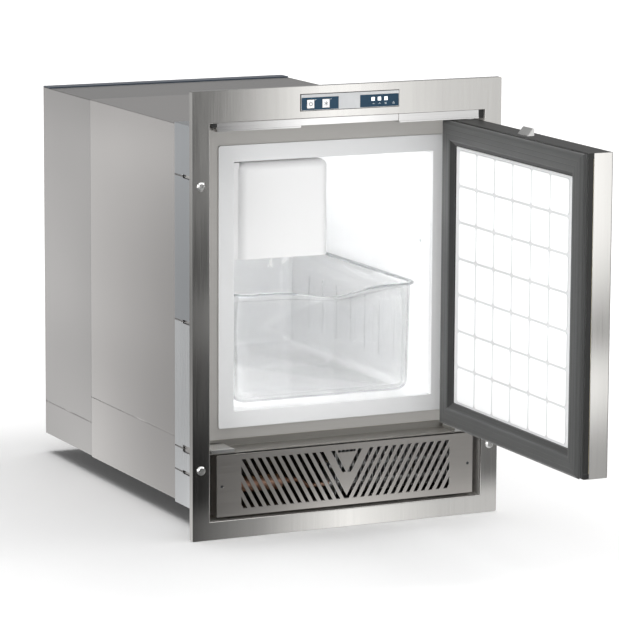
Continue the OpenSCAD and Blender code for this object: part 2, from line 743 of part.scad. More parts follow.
// Seal's outer solid: straight skirt with a chamfered face
module gasket_block(inset, y0, y1) {
    x = door_x - inset;
    z0 = door_low + inset - 1;
    z1 = door_high - inset + 1;
    box([-x, y0, z0], [x, y1, z1]);
    along_x(-x + 3, x - 3) polygon([[y1, z0], [y1 + 3, z0 + 3], [y1 + 3, z1 - 3], [y1, z1]]);
    intersection() {
        translate([0, 0, z0]) linear_extrude(z1 - z0)
            polygon([[-x, y1], [-x + 3, y1 + 3], [x - 3, y1 + 3], [x, y1]]);
        along_x(-x, x) polygon([[y1, z0], [y1 + 3, z0 + 3], [y1 + 3, z1 - 3], [y1, z1]]);
    }
}

module gasket_void() box([-door_x + gasket_w, -1, door_low + gasket_w],
    [door_x - gasket_w, 20, door_high - gasket_w]);

module hinge_bushes() color([0.9, 0.9, 0.85]) hung() translate([pin_x, pin_y, 0]) difference() {
    union() {
        translate([0, 0, door_low - 0.3]) cylinder(h = cap_t + 5.3, r = bush_r);
        translate([0, 0, door_high - cap_t - 5]) cylinder(h = cap_t + 5.3, r = bush_r);
    }
    translate([0, 0, door_low - 1]) cylinder(h = 11, r = pin_r + running);
    translate([0, 0, door_high - 10]) cylinder(h = 11, r = pin_r + running);
}

module latch_bolt() color([0.82, 0.82, 0.82]) hung() {
    top = door_high + latch_rise;
    along_x(-latch_w / 2, latch_w / 2) polygon([[latch_front, slider_z + 6],
        [latch_front, top], [latch_front + 1.6, top], [latch_front + latch_d, door_high + 0.4],
        [latch_front + latch_d, slider_z + 6]]);
    box([-8, latch_front, slider_z - 14], [8, latch_front + 4, slider_z + 6]);
}

module latch_slider() color(black) hung() difference() {
    union() {
        box([-12.6, 1.2, slider_z - 6], [12.6, 4, slider_z + 15.6]);
        box([-9, 4, slider_z - 4], [9, latch_front, slider_z + 5]);
        along_y(-3.4, 1.2) rrect([-12.6, slider_z + 6], [12.6, slider_z + 15.6], 2);
    }
    for (z = [8, 10, 12]) box([-9, -4, slider_z + z], [9, -2.9, slider_z + z + 0.9]);
}

front_flange();
mounting_screws();
door_pocket();
cross_rail();
collar();
front_casing();
front_tray();
rear_casing();
rear_tray();
back_panel();
rear_trim();
cabinet_foam();
inner_liner();
breaker_frame();
evaporator_panel();
upper_hinge_rails();
hinge_end_blocks();
lower_hinge_plates();
hinge_pins();
latch_keeper();
grille();
grille_screws();
condenser();
fan_shroud();
fan_motor();
fan_rotor();
compressor();
compressor_mounts();
filter_drier();
refrigerant_lines();
capillary_line();
control_box();
power_inlet();
water_valve();
fill_tube();
drain_tube();
display_bezel();
display_board();
display_windows();
display_leds();
power_key();
mode_key();
ice_cover();
ice_mould();
mould_heater();
ejector_shaft();
ice_stripper();
ejector_motor();
fill_cup();
feeler_plunger();
ice_bin();
door_skin();
door_caps();
door_frame();
door_foam();
door_liner();
door_gasket();
hinge_bushes();
latch_bolt();
latch_slider();
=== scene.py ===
import bpy, bmesh, json, math
from mathutils import Matrix, Vector

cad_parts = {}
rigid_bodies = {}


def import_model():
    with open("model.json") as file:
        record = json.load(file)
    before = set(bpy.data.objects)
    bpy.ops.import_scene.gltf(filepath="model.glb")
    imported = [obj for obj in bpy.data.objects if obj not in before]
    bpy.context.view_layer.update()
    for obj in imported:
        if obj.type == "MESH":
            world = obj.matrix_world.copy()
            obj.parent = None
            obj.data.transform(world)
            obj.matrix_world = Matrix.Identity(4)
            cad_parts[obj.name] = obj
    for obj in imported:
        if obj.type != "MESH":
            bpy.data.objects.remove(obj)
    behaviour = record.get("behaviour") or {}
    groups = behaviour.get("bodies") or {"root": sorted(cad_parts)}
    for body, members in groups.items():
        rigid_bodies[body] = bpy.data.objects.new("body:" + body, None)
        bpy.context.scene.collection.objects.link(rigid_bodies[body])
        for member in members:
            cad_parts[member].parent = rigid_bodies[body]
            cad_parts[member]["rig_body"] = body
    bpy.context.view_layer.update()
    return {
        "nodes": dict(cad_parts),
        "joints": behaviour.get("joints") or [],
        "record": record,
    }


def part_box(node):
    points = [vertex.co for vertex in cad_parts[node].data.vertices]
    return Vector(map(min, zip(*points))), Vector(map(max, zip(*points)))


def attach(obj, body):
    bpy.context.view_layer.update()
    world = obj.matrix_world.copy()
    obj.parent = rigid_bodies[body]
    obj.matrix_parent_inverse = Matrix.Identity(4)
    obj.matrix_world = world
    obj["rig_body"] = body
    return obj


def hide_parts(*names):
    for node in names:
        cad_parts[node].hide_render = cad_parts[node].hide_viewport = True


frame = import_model()
nodes = frame["nodes"]
record = frame["record"]
body_of = {n: b for b, names in record["behaviour"]["bodies"].items() for n in names}
slot_of = {s["node"]: s["material_slot"] for s in record["subparts"]}
joints = {j["name"]: j for j in frame["joints"]}
MM = 0.001

# The door is modelled shut and then swung open by the joint's own rest angle.
hinge = joints["door_hinge"]
pivot = Vector(hinge["pos_m"])
swing = (Matrix.Translation(pivot) @ Matrix.Rotation(math.radians(-hinge["range_deg"][0]), 4, "Z")
         @ Matrix.Translation(-pivot))
unswing = swing.inverted()


def shut_box(name):
    """Lowest and highest corner of a door node with the door shut."""
    pts = [unswing @ v.co for v in nodes[name].data.vertices]
    return (Vector([min(p[i] for p in pts) for i in range(3)]),
            Vector([max(p[i] for p in pts) for i in range(3)]))


# ---------------------------------------------------------------- materials

def new_material(name):
    m = bpy.data.materials.new(name)
    m.use_nodes = True
    nt = m.node_tree
    return m, nt, nt.nodes["Principled BSDF"]


def put(bsdf, **values):
    names = {"base": "Base Color", "rough": "Roughness", "metal": "Metallic", "ior": "IOR",
             "spec": "Specular IOR Level", "coat": "Coat Weight", "coat_rough": "Coat Roughness",
             "aniso": "Anisotropic", "trans": "Transmission Weight", "alpha": "Alpha",
             "sheen": "Sheen Weight", "sheen_rough": "Sheen Roughness", "sss": "Subsurface Weight",
             "sss_scale": "Subsurface Scale", "emit": "Emission Color", "emit_s": "Emission Strength"}
    for k, v in values.items():
        if k in ("base", "emit"):
            v = (v[0], v[1], v[2], 1.0)
        bsdf.inputs[names[k]].default_value = v


def noise_node(nt, scale, stretch=(1, 1, 1), detail=4.0, rough=0.55, spin=(0, 0, 0)):
    tc = nt.nodes.new("ShaderNodeTexCoord")
    mp = nt.nodes.new("ShaderNodeMapping")
    mp.inputs["Scale"].default_value = stretch
    mp.inputs["Rotation"].default_value = spin
    no = nt.nodes.new("ShaderNodeTexNoise")
    no.inputs["Scale"].default_value = scale
    no.inputs["Detail"].default_value = detail
    no.inputs["Roughness"].default_value = rough
    nt.links.new(tc.outputs["Object"], mp.inputs["Vector"])
    nt.links.new(mp.outputs["Vector"], no.inputs["Vector"])
    return no


def spread(nt, source, low, high):
    """Maps a noise of about 0.3 to 0.7 onto low to high."""
    r = nt.nodes.new("ShaderNodeMapRange")
    r.inputs["From Min"].default_value = 0.3
    r.inputs["From Max"].default_value = 0.7
    r.inputs["To Min"].default_value = low
    r.inputs["To Max"].default_value = high
    nt.links.new(source, r.inputs["Value"])
    return r.outputs["Result"]


def maths(nt, op, a, b):
    n = nt.nodes.new("ShaderNodeMath")
    n.operation = op
    for i, v in enumerate((a, b)):
        if isinstance(v, (int, float)):
            n.inputs[i].default_value = v
        else:
            nt.links.new(v, n.inputs[i])
    return n.outputs[0]


def tint(nt, colour, factor):
    """Colour multiplied by a grey factor."""
    m = nt.nodes.new("ShaderNodeMix")
    m.data_type = "RGBA"
    m.blend_type = "MULTIPLY"
    m.inputs[0].default_value = 1.0
    m.inputs[6].default_value = (colour[0], colour[1], colour[2], 1)
    nt.links.new(factor, m.inputs[7])
    return m.outputs[2]


def blend_colours(nt, a, b, factor):
    m = nt.nodes.new("ShaderNodeMix")
    m.data_type = "RGBA"
    m.inputs[6].default_value = (a[0], a[1], a[2], 1)
    m.inputs[7].default_value = (b[0], b[1], b[2], 1)
    nt.links.new(factor, m.inputs[0])
    return m.outputs[2]


def bump(nt, bsdf, height, strength, distance):
    b = nt.nodes.new("ShaderNodeBump")
    b.inputs["Strength"].default_value = strength
    b.inputs["Distance"].default_value = distance
    nt.links.new(height, b.inputs["Height"])
    nt.links.new(b.outputs["Normal"], bsdf.inputs["Normal"])


def brushed(name, base, rough, grain, streak=0.10, cloud=0.06, aniso=0.5, metal=1.0, wobble=0.06):
    """Brushed or rolled sheet. grain is the axis (0, 1, 2) that the scratches run along."""
    m, nt, b = new_material(name)
    long_way = [1.0, 1.0, 1.0]
    long_way[grain] = 0.012
    fine = noise_node(nt, 900, tuple(long_way), 3, 0.6)
    wide = noise_node(nt, 150, tuple(long_way), 4, 0.6)
    mottle = noise_node(nt, 5, (1, 1, 1), 2, 0.5)
    f = maths(nt, "MULTIPLY", spread(nt, fine.outputs["Fac"], 1 - streak, 1 + streak * 0.4),
              spread(nt, wide.outputs["Fac"], 1 - streak * 0.7, 1 + streak * 0.3))
    f = maths(nt, "MULTIPLY", f, spread(nt, mottle.outputs["Fac"], 1 - cloud, 1 + cloud * 0.5))
    nt.links.new(tint(nt, base, f), b.inputs["Base Color"])
    r = maths(nt, "ADD", spread(nt, fine.outputs["Fac"], rough - wobble, rough + wobble),
              spread(nt, mottle.outputs["Fac"], -wobble / 2, wobble / 2))
    nt.links.new(r, b.inputs["Roughness"])
    put(b, metal=metal, aniso=aniso)
    bump(nt, b, fine.outputs["Fac"], 2 * wobble, 0.00005)
    return m


def plated(name, base, rough, spangle=0.05, metal=1.0):
    """Zinc-plated or cast metal with a faint mottled patina."""
    m, nt, b = new_material(name)
    n = noise_node(nt, 220, (1, 1, 1), 5, 0.6)
    w = noise_node(nt, 18, (1, 1, 1), 3, 0.5)
    f = maths(nt, "MULTIPLY", spread(nt, n.outputs["Fac"], 1 - spangle, 1 + spangle * 0.5),
              spread(nt, w.outputs["Fac"], 1 - spangle, 1.0))
    nt.links.new(tint(nt, base, f), b.inputs["Base Color"])
    nt.links.new(spread(nt, w.outputs["Fac"], rough - 0.05, rough + 0.08), b.inputs["Roughness"])
    put(b, metal=metal)
    bump(nt, b, n.outputs["Fac"], 0.10, 0.0001)
    return m


def moulded(name, base, rough, grain=700, depth=0.00004, vary=0.03, **extra):
    """Moulded or vacuum-formed plastic: fine skin texture and a little tonal drift."""
    m, nt, b = new_material(name)
    skin = noise_node(nt, grain, (1, 1, 1), 3, 0.5)
    drift = noise_node(nt, 9, (1, 1, 1), 3, 0.5)
    f = maths(nt, "MULTIPLY", spread(nt, drift.outputs["Fac"], 1 - vary, 1.0),
              spread(nt, skin.outputs["Fac"], 1 - vary * 0.5, 1.0))
    nt.links.new(tint(nt, base, f), b.inputs["Base Color"])
    nt.links.new(spread(nt, skin.outputs["Fac"], rough - 0.03, rough + 0.03), b.inputs["Roughness"])
    put(b, **extra)
    bump(nt, b, skin.outputs["Fac"], 0.25, depth)
    return m


def tarnished(name, bright, dull, rough):
    """Copper tube: bright where wiped, browner where it has been brazed."""
    m, nt, b = new_material(name)
    w = noise_node(nt, 40, (1, 1, 1), 4, 0.6)
    n = noise_node(nt, 420, (1, 1, 1), 3, 0.6)
    f = spread(nt, w.outputs["Fac"], 0.0, 1.0)
    nt.links.new(blend_colours(nt, bright, dull, f), b.inputs["Base Color"])
    nt.links.new(spread(nt, w.outputs["Fac"], rough, rough + 0.2), b.inputs["Roughness"])
    put(b, metal=1.0)
    bump(nt, b, n.outputs["Fac"], 0.1, 0.0001)
    return m


def foamed(name, base):
    m, nt, b = new_material(name)
    v = nt.nodes.new("ShaderNodeTexVoronoi")
    v.inputs["Scale"].default_value = 900
    tc = nt.nodes.new("ShaderNodeTexCoord")
    nt.links.new(tc.outputs["Object"], v.inputs["Vector"])
    n = noise_node(nt, 30, (1, 1, 1), 4, 0.6)
    nt.links.new(tint(nt, base, spread(nt, n.outputs["Fac"], 0.86, 1.0)), b.inputs["Base Color"])
    put(b, rough=0.9, spec=0.2)
    bump(nt, b, v.outputs["Distance"], 0.5, 0.0004)
    return m


def see_through(name, base, alpha, rough):
    m, nt, b = new_material(name)
    n = noise_node(nt, 60, (1, 1, 1), 3, 0.5)
    nt.links.new(tint(nt, base, spread(nt, n.outputs["Fac"], 0.97, 1.0)), b.inputs["Base Color"])
    nt.links.new(spread(nt, n.outputs["Fac"], rough, rough + 0.02), b.inputs["Roughness"])
    put(b, trans=1.0, ior=1.49, alpha=alpha, spec=0.6)
    bump(nt, b, n.outputs["Fac"], 0.05, 0.0003)
    return m


ALONG_X, ALONG_Z = 0, 2
STEEL = (0.60, 0.59, 0.57)
SHEET = dict(streak=0.02, cloud=0.03, aniso=0.0, wobble=0.015)
CASING = dict(streak=0.010, cloud=0.03, aniso=0.0, wobble=0.004)
FORMED = dict(grain=900, depth=0.00003)
PRINTED = dict(grain=1500, depth=0.00001)

M = {
    "flange_steel": brushed("flange_brushed_steel", STEEL, 0.14, ALONG_Z, 0.05, 0.04, 0.0,
                            wobble=0.04),
    "skin_steel": brushed("door_brushed_steel", STEEL, 0.16, ALONG_Z, 0.04, 0.04, 0.0,
                          wobble=0.02),
    "casing_steel": brushed("rolled_casing_sheet", (0.62, 0.60, 0.585), 0.25, ALONG_Z, **CASING),
    # a darker copy of the casing steel for the rear casing and rear tray: painted shade on the rear half
    "casing_rear_painted_shade": brushed("rolled_rear_casing_sheet_painted_shade", (0.49, 0.478, 0.468), 0.25, ALONG_Z,
                           **CASING),
    "recess_steel": brushed("dull_recess_sheet", (0.66, 0.645, 0.62), 0.5, ALONG_X, 0.03, 0.04,
                            0.0, metal=0.75),
    "grille_steel": brushed("grille_sheet", (0.50, 0.48, 0.455), 0.36, ALONG_X, 0.03, 0.04, 0.0),
    "collar_steel": brushed("bright_collar_sheet", (0.52, 0.54, 0.56), 0.3, ALONG_Z, **SHEET),
    # a brighter copy of the collar's steel: painted light on the collar's lower side sheets
    "collar_painted_light": brushed("collar_sheet_painted_light", (0.86, 0.875, 0.89), 0.26, ALONG_Z, **SHEET),
    "dark_steel": plated("dark_steel", (0.12, 0.125, 0.13), 0.4),
    "rail_chrome": brushed("rail_polished_steel", (0.66, 0.655, 0.65), 0.10, ALONG_X, 0.04, 0.10,
                           0.0, wobble=0.03),
    "zinc": plated("zinc_plate", (0.74, 0.74, 0.73), 0.32, 0.03),
    "trim_navy": moulded("navy_trim_paint", (0.03, 0.045, 0.07), 0.35, coat=0.3),
    "foam": foamed("rigid_foam", (0.80, 0.70, 0.45)),
    # a greyer copy of the white plastic for the frame round the cavity mouth: painted shade
    "breaker_white_painted_shade": moulded("white_breaker_plastic_painted_shade", (0.74, 0.745, 0.75), 0.32, **FORMED,
                             vary=0.008, coat=0.2),
    "liner_white": moulded("white_liner_plastic", (0.86, 0.865, 0.87), 0.32, **FORMED,
                           vary=0.008, coat=0.2),
    "white_plastic": moulded("white_formed_plastic", (0.92, 0.925, 0.93), 0.32, **FORMED,
                             vary=0.008, coat=0.2),
    "white_matte": moulded("white_moulded_plastic", (0.88, 0.88, 0.88), 0.4, **FORMED, vary=0.01),
    "groove_painted_shade": moulded("pane_groove_shade", (0.66, 0.665, 0.67), 0.5, **FORMED, vary=0.02),
    "joint_bead": moulded("joint_sealant", (0.16, 0.155, 0.15), 0.6, 900, 0.00006, 0.1),
    "ledge_steel": brushed("ledge_sheet", (0.34, 0.33, 0.31), 0.34, ALONG_X, 0.04, 0.05, 0.0,
                           metal=0.95),
    "black_plastic": moulded("black_moulded_plastic", (0.022, 0.022, 0.021), 0.45, 900, 0.00006,
                             0.15),
    "grey_plastic": moulded("grey_moulded_plastic", (0.12, 0.125, 0.13), 0.5, 800, 0.00006, 0.08),
    "gasket_rubber": moulded("grey_seal_rubber", (0.055, 0.057, 0.056), 0.5, 1200, 0.00005, 0.12,
                             sheen=0.25, sheen_rough=0.4),
    "clear_plastic": see_through("clear_polystyrene", (0.99, 0.995, 0.995), 0.6, 0.01),
    "clear_rib": see_through("clear_polystyrene_rib", (0.88, 0.89, 0.90), 0.6, 0.05),
    "clear_rim_painted_shade": see_through("clear_polystyrene_rim_painted_shade", (0.40, 0.42, 0.43), 0.9, 0.05),
    "panel_silver": plated("silver_bezel_print", (0.74, 0.75, 0.76), 0.35, 0.03, metal=0.6),
    "panel_blue": moulded("dark_blue_window", (0.010, 0.045, 0.085), 0.16, **PRINTED, vary=0.2,
                          spec=0.25),
    "led_white": moulded("white_light_guide", (0.9, 0.93, 0.95), 0.2, **PRINTED, vary=0.02,
                         emit=(0.9, 0.96, 1.0), emit_s=0.9),
    "board_green": moulded("circuit_board", (0.02, 0.11, 0.05), 0.35, 400, 0.0001, 0.3, coat=0.4),
    "copper": tarnished("copper_tube", (0.92, 0.60, 0.46), (0.45, 0.24, 0.16), 0.22),
    "aluminium": brushed("bare_aluminium", (0.80, 0.805, 0.81), 0.36, ALONG_Z, 0.05, 0.06, 0.2),
    "black_steel": plated("black_enamel", (0.02, 0.02, 0.022), 0.3, 0.2, metal=0.0),
    "silicone": moulded("milky_silicone", (0.70, 0.73, 0.74), 0.4, 600, 0.00005, 0.04,
                        sss=0.2, sss_scale=0.004),
    "buffer_rubber": moulded("black_buffer_rubber", (0.02, 0.02, 0.02), 0.7, 700, 0.0002, 0.2,
                             sheen=0.2),
    "ink": moulded("printed_dark_ink", (0.03, 0.04, 0.05), 0.4, **PRINTED, vary=0.1),
    "mark": moulded("printed_pale_mark", (0.70, 0.78, 0.82), 0.35, **PRINTED, vary=0.05),
}
MATERIAL_OF_NODE = {"collar": "collar_steel", "breaker_frame": "breaker_white_painted_shade",
                    "door_skin": "skin_steel"}


def material_for(node):
    return M[MATERIAL_OF_NODE.get(node, slot_of[node])]


# ---------------------------------------------------------------- mesh helpers

def make(name, bm, material, body, replaces=(), smooth=True, matrix=None):
    if matrix is not None:
        bm.transform(matrix)
    bmesh.ops.recalc_face_normals(bm, faces=bm.faces)
    me = bpy.data.meshes.new(name)
    bm.to_mesh(me)
    bm.free()
    if smooth:
        me.shade_smooth()
    o = bpy.data.objects.new(name, me)
    bpy.context.scene.collection.objects.link(o)
    o.data.materials.append(material)
    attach(o, body)
    if replaces:
        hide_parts(*replaces)
    return o


def soften(o, width, segments=2, angle=32, weighted=True):
    b = o.modifiers.new("edges", "BEVEL")
    b.width = width
    b.segments = segments
    b.limit_method = "ANGLE"
    b.angle_limit = math.radians(angle)
    b.use_clamp_overlap = True
    if weighted:
        w = o.modifiers.new("normals", "WEIGHTED_NORMAL")
        w.keep_sharp = False
        w.weight = 80
    return o


def clean_copy(node):
    bm = bmesh.new()
    bm.from_mesh(nodes[node].data)
    bmesh.ops.remove_doubles(bm, verts=bm.verts, dist=2e-6)
    bmesh.ops.dissolve_limit(bm, angle_limit=math.radians(0.6), verts=bm.verts, edges=bm.edges,
                             use_dissolve_boundaries=False, delimit={"NORMAL"})
    return bm


def refined(node, width=0.5, segments=2, pick=None, pick_width=2.0, pick_segments=4, material=None):
    """The CAD node's own shape with rounded edges. pick(a, b) chooses edges for a larger radius."""
    bm = clean_copy(node)
    if pick:
        chosen = [e for e in bm.edges if len(e.link_faces) == 2 and e.calc_face_angle(0) > 0.5
                  and pick(e.verts[0].co, e.verts[1].co)]
        bmesh.ops.bevel(bm, geom=chosen, offset=pick_width * MM, offset_type="OFFSET",
                        segments=pick_segments, profile=0.5, affect="EDGES", clamp_overlap=True)
    o = make(node + "_piece", bm, material or material_for(node), body_of[node], [node])
    return soften(o, width * MM, segments)


def ring_loop(x0, x1, y0, y1, r, corner=6, side=1):
    """Rounded rectangle, anticlockwise from above, with `side` spans along each straight edge."""
    pts = []
    for cx, cy, a in ((x1 - r, y1 - r, 0), (x0 + r, y1 - r, 90),
                      (x0 + r, y0 + r, 180), (x1 - r, y0 + r, 270)):
        for k in range(corner + 1):
            t = math.radians(a + 90 * k / corner)
            pts.append((cx + r * math.cos(t), cy + r * math.sin(t)))
    out = []
    n = corner + 1
    for i in range(4):
        out += pts[i * n:(i + 1) * n]
        ax, ay = pts[(i + 1) * n - 1]
        bx, by = pts[((i + 1) * n) % len(pts)]
        for k in range(1, side):
            out.append((ax + (bx - ax) * k / side, ay + (by - ay) * k / side))
    return out


def loft(bm, loops, close=False, cap_first=False, cap_last=False):
    rows = [[bm.verts.new(p) for p in loop] for loop in loops]
    n = len(rows[0])
    pairs = list(zip(rows, rows[1:])) + ([(rows[-1], rows[0])] if close else [])
    for a, b in pairs:
        for i in range(n):
            bm.faces.new((a[i], a[(i + 1) % n], b[(i + 1) % n], b[i]))
    if cap_first:
        bm.faces.new(rows[0])
    if cap_last:
        bm.faces.new(rows[-1])
    return rows


def solid_box(bm, lo, hi):
    r = bmesh.ops.create_cube(bm, size=1.0, matrix=Matrix.Translation((Vector(lo) + Vector(hi)) / 2)
                              @ Matrix.Diagonal((*(Vector(hi) - Vector(lo)), 1)))
    return r["verts"]


# ---------------------------------------------------------------- cabinet sheet metal

casing_lo, casing_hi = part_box("front_casing")
rear_lo, rear_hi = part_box("rear_casing")
flange_lo, flange_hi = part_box("front_flange")


def fold_of(lo, hi):
    """Picks the long outer fold lines of a channel: corners of its section that run along Y."""
    def pick(a, b):
        if abs(a.y - b.y) < 0.02:
            return False
        ax = min(abs(a.x - lo.x), abs(a.x - hi.x))
        az = min(abs(a.z - lo.z), abs(a.z - hi.z))
        return ax < 1e-4 and az < 1e-4
    return pick


refined("front_casing", 0.25, 2, fold_of(casing_lo, casing_hi), 1.6, 4)
# the rear casing and rear tray take the darker copy of the casing steel, which is painted shade
refined("rear_casing", 0.25, 2, fold_of(rear_lo, rear_hi), 1.6, 4, material=M["casing_rear_painted_shade"])
refined("front_tray", 0.25, 2, fold_of(*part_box("front_tray")), 1.6, 4)
refined("rear_tray", 0.25, 2, fold_of(*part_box("rear_tray")), 1.6, 4, material=M["casing_rear_painted_shade"])

# collar: its lower side sheets take a brighter copy of its steel as painted light, and a dark joint
# carries each slit on to the rear edge
collar_lo, collar_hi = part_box("collar")
SLIT_DROPS = (58.3, 222.3, 367.3, 394.3)     # of part.scad's slits, below the collar's top
JOINT_REACH, JOINT_HALF = 23 * MM, 0.9 * MM
slit_z = [collar_hi.z - drop * MM for drop in SLIT_DROPS]
bm = clean_copy("collar")
bmesh.ops.bisect_plane(bm, geom=bm.verts[:] + bm.edges[:] + bm.faces[:], dist=1e-6,
                       plane_co=(0, 0, slit_z[1]), plane_no=(0, 0, 1))
collar = make("collar_piece", bm, M["collar_steel"], "cabinet", ["collar"])
# faces below the second slit take the brighter copy, which is painted light
collar.data.materials.append(M["collar_painted_light"])
for p in collar.data.polygons:
    if p.center.z < slit_z[1]:
        p.material_index = 1
soften(collar, 0.25 * MM, 2)
bm = bmesh.new()
for z in slit_z:
    for x in (collar_lo.x, collar_hi.x):
        a, b = sorted((x - math.copysign(0.12 * MM, -x), x + math.copysign(0.5 * MM, -x)))
        solid_box(bm, (a, collar_hi.y - JOINT_REACH, z - JOINT_HALF),
                  (b, collar_hi.y - 0.3 * MM, z + JOINT_HALF))
make("collar_joints", bm, M["joint_bead"], "cabinet")
refined("back_panel", 0.2, 1)
refined("rear_trim", 0.3, 2)
refined("door_pocket", 0.3, 2)
refined("cross_rail", 0.25, 2, material=M["ledge_steel"])

# lap strips close the casing's seams from inside, and a bead of sealant runs round the step
MITRE = 0.35 * MM
bm = bmesh.new()
for lo, hi, tray in ((casing_lo, casing_hi, "front_tray"), (rear_lo, rear_hi, "rear_tray")):
    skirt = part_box(tray)[1].z
    for x in (lo.x, hi.x):
        a, b = sorted((x + math.copysign(MITRE, -x), x + math.copysign(0.9 * MM, -x)))
        solid_box(bm, (a, lo.y + 1 * MM, skirt - 4 * MM), (b, hi.y - 1 * MM, skirt + 4 * MM))
make("lap_strips", bm, M["casing_steel"], "cabinet")
bm = bmesh.new()
y0, y1 = casing_hi.y - 0.3 * MM, casing_hi.y + 0.9 * MM
for x in (rear_lo.x, rear_hi.x):
    a, b = sorted((x - math.copysign(0.45 * MM, -x), x + math.copysign(0.5 * MM, -x)))
    solid_box(bm, (a, y0, rear_lo.z), (b, y1, rear_hi.z + 0.45 * MM))
solid_box(bm, (rear_lo.x, y0, rear_hi.z - 0.5 * MM), (rear_hi.x, y1, rear_hi.z + 0.45 * MM))
make("step_bead", bm, M["joint_bead"], "cabinet")


def flange_corners(a, b):
    """The front edges of the flange's opening, and its outer folded corners."""
    inside_opening = max(abs(a.x), abs(b.x)) < 0.1695
    if max(a.y, b.y) < flange_lo.y + 1e-4 and inside_opening and (a - b).length > 0.15:
        return True
    return (abs(a.y - b.y) > 0.004 and min(abs(a.x - flange_lo.x), abs(a.x - flange_hi.x)) < 1e-4
            and min(abs(a.z - flange_lo.z), abs(a.z - flange_hi.z)) < 1e-4)


refined("front_flange", 0.7, 3, flange_corners, 1.2, 4)
refined("mounting_screws", 0.25, 2)

for n in ("hinge_end_blocks", "lower_hinge_plates", "latch_keeper"):
    refined(n, 0.35, 2)
refined("upper_hinge_rails", 0.35, 2, material=M["rail_chrome"])
refined("hinge_pins", 0.4, 2)
refined("grille", 0.22, 1, material=M["grille_steel"])
refined("grille_screws", 0.3, 2)

# ---------------------------------------------------------------- cold cavity

liner_lo, liner_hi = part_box("inner_liner")


def liner_loop(y, inset, r):
    i = inset * MM
    ring = ring_loop(liner_lo.x + i, liner_hi.x - i, liner_lo.z + i, liner_hi.z - i, r * MM, 6, 1)
    return [(x, y, z) for x, z in ring]


# vacuum-formed tub: wall, rounded corners, and a soft turn into the back wall
WALL, TURN = 2.0, 9.0
loops = [liner_loop(liner_hi.y, 0, 2), liner_loop(liner_lo.y, 0, 2),
         liner_loop(liner_lo.y, WALL - 0.4, 4), liner_loop(liner_lo.y + 0.4 * MM, WALL, 4)]
for k in range(7):
    a = math.radians(15 * k)
    loops.append(liner_loop(liner_hi.y - (WALL + TURN * (1 - math.sin(a))) * MM,
                            WALL + TURN * (1 - math.cos(a)), 4 + 0.8 * k))
bm = bmesh.new()
loft(bm, loops, cap_first=True, cap_last=True)
liner = make("inner_liner_piece", bm, M["liner_white"], "cabinet", ["inner_liner"])
soften(liner, 0.2 * MM, 1)

# a small button, taken to be the temperature sensor, on the right wall
SENSOR_BACK, SENSOR_UP = 22, -108.2          # from the liner's front and top, in millimetres
SENSOR_SIDES = 24
bm = bmesh.new()
wall_x = liner_hi.x - WALL * MM
loops = []
for h, r in ((-0.3, 1.7), (0.8, 1.7), (1.1, 1.4), (1.15, 0.6), (0.7, 0.5)):
    turns = [math.tau * k / SENSOR_SIDES for k in range(SENSOR_SIDES)]
    loops.append([(wall_x - h * MM, liner_lo.y + (SENSOR_BACK + r * math.cos(t)) * MM,
                   liner_hi.z + (SENSOR_UP + r * math.sin(t)) * MM) for t in turns])
loft(bm, loops, cap_last=True)
make("wall_sensor", bm, M["silicone"], "cabinet")
refined("breaker_frame", 0.9, 3)

# ---------------------------------------------------------------- ice mould cover

c_lo, c_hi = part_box("ice_cover")
RECESSED_EDGE, TOP_GAP, COVER_RADIUS = 7 * MM, 5.2 * MM, 9 * MM
cover_edge = c_lo.x
c_lo.x += RECESSED_EDGE
top = c_hi.z - TOP_GAP
bm = bmesh.new()
solid_box(bm, c_lo, (c_hi.x, c_hi.y, top))
floor_faces = [f for f in bm.faces if f.normal.z < -0.5 or f.calc_center_median().z < c_lo.z + 1e-5]
bmesh.ops.delete(bm, geom=floor_faces, context="FACES_ONLY")
edges = [e for e in bm.edges if len(e.link_faces) == 2]
bmesh.ops.bevel(bm, geom=edges, offset=COVER_RADIUS, segments=6, profile=0.5, affect="EDGES",
                clamp_overlap=True)
cover = make("ice_cover_piece", bm, M["white_matte"], "cabinet", ["ice_cover"])
sol = cover.modifiers.new("wall", "SOLIDIFY")
sol.thickness = 2 * MM
sol.offset = -1
soften(cover, 0.5 * MM, 2)

# a lip under its front, its recessed left edge, and two hangers up to the cavity's roof
bm = bmesh.new()
solid_box(bm, (c_lo.x + 2.5 * MM, c_lo.y + 2.5 * MM, c_lo.z + 1 * MM),
          (c_hi.x - 2.5 * MM, c_lo.y + 14 * MM, c_lo.z + 2.6 * MM))
solid_box(bm, (cover_edge, c_lo.y + 7 * MM, c_lo.z), (c_lo.x + 1.5 * MM, c_lo.y + 9 * MM, top))
for x in (c_lo.x + 14 * MM, c_hi.x - 24 * MM):
    solid_box(bm, (x, c_lo.y + 40 * MM, top - 1 * MM),
              (x + 10 * MM, c_hi.y - 20 * MM, c_hi.z - 0.05 * MM))
soften(make("cover_strips", bm, M["white_matte"], "cabinet"), 0.4 * MM)
refined("feeler_plunger", 0.5, 2)

# ---------------------------------------------------------------- clear bin

b_lo, b_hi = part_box("ice_bin")
BIN_CORNER = 23 * MM
DIP, DIP_CENTRE, DIP_HALF_WIDTH = 9 * MM, 6 * MM, 70 * MM      # the low middle of the front rim


def bin_loop(inset, z):
    """A level ring of the bin, with its rim dipped along the front."""
    x0, x1, y0, y1 = b_lo.x + inset, b_hi.x - inset, b_lo.y + inset, b_hi.y - inset
    pts = ring_loop(x0, x1, y0, y1, max(BIN_CORNER - inset, 4 * MM), 8, 28)
    out = []
    for x, y in pts:
        zz = z
        if z > b_hi.z - 4 * MM and y < b_lo.y + 12 * MM:
            u = max(-1.0, min(1.0, (x - DIP_CENTRE) / DIP_HALF_WIDTH))
            zz = z - DIP * (0.5 + 0.5 * math.cos(math.pi * u))
        out.append((x, y, zz))
    return out


